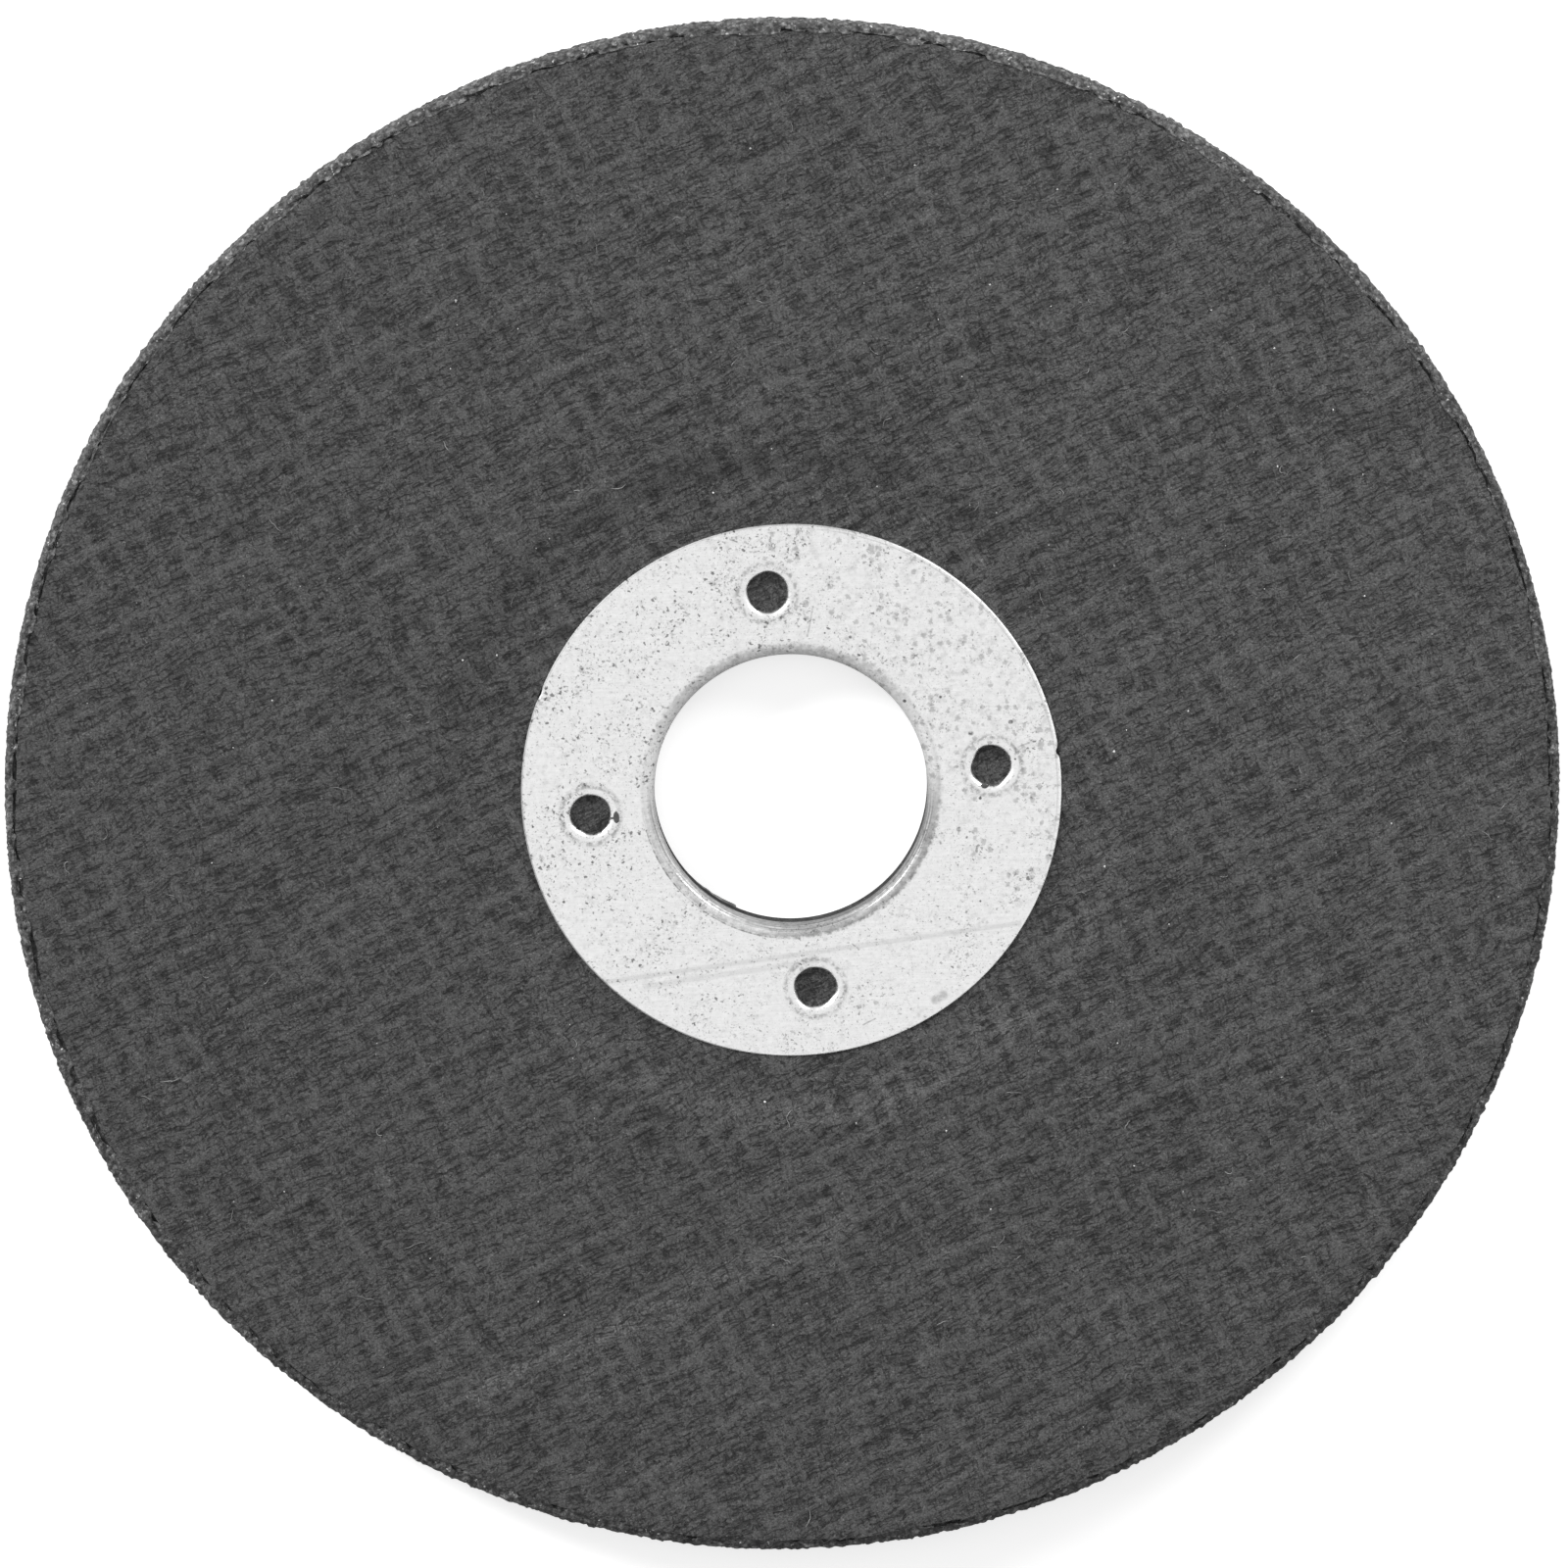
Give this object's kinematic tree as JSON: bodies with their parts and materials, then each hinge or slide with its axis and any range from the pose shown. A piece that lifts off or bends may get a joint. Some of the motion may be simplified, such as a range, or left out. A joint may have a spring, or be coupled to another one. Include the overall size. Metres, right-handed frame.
{
  "type": "cut off wheel",
  "caption": "Flat resin-bonded cut off wheel with a black mesh-backed facing, a grainy rounded rim and a stamped steel arbor ring rolled into the bore.",
  "frame": {"origin": "on the axis of the bore, in the plane of the back face", "axes": "+Z along the bore, out of the ring side; +X to the right and +Y up as the picture shows the wheel"},
  "size_m": [0.127, 0.127, 0.0032],
  "materials": {
    "abrasive": "pressed grain in black resin, rough",
    "facing": "black paper pressed into glass mesh, matt and wrinkled",
    "ring_steel": "tinned sheet, satin, specked"
  },
  "bodies": {
    "root": {"abrasive_body": "abrasive", "front_facing": "facing", "arbor_ring": "ring_steel"}
  },
  "joints": []
}
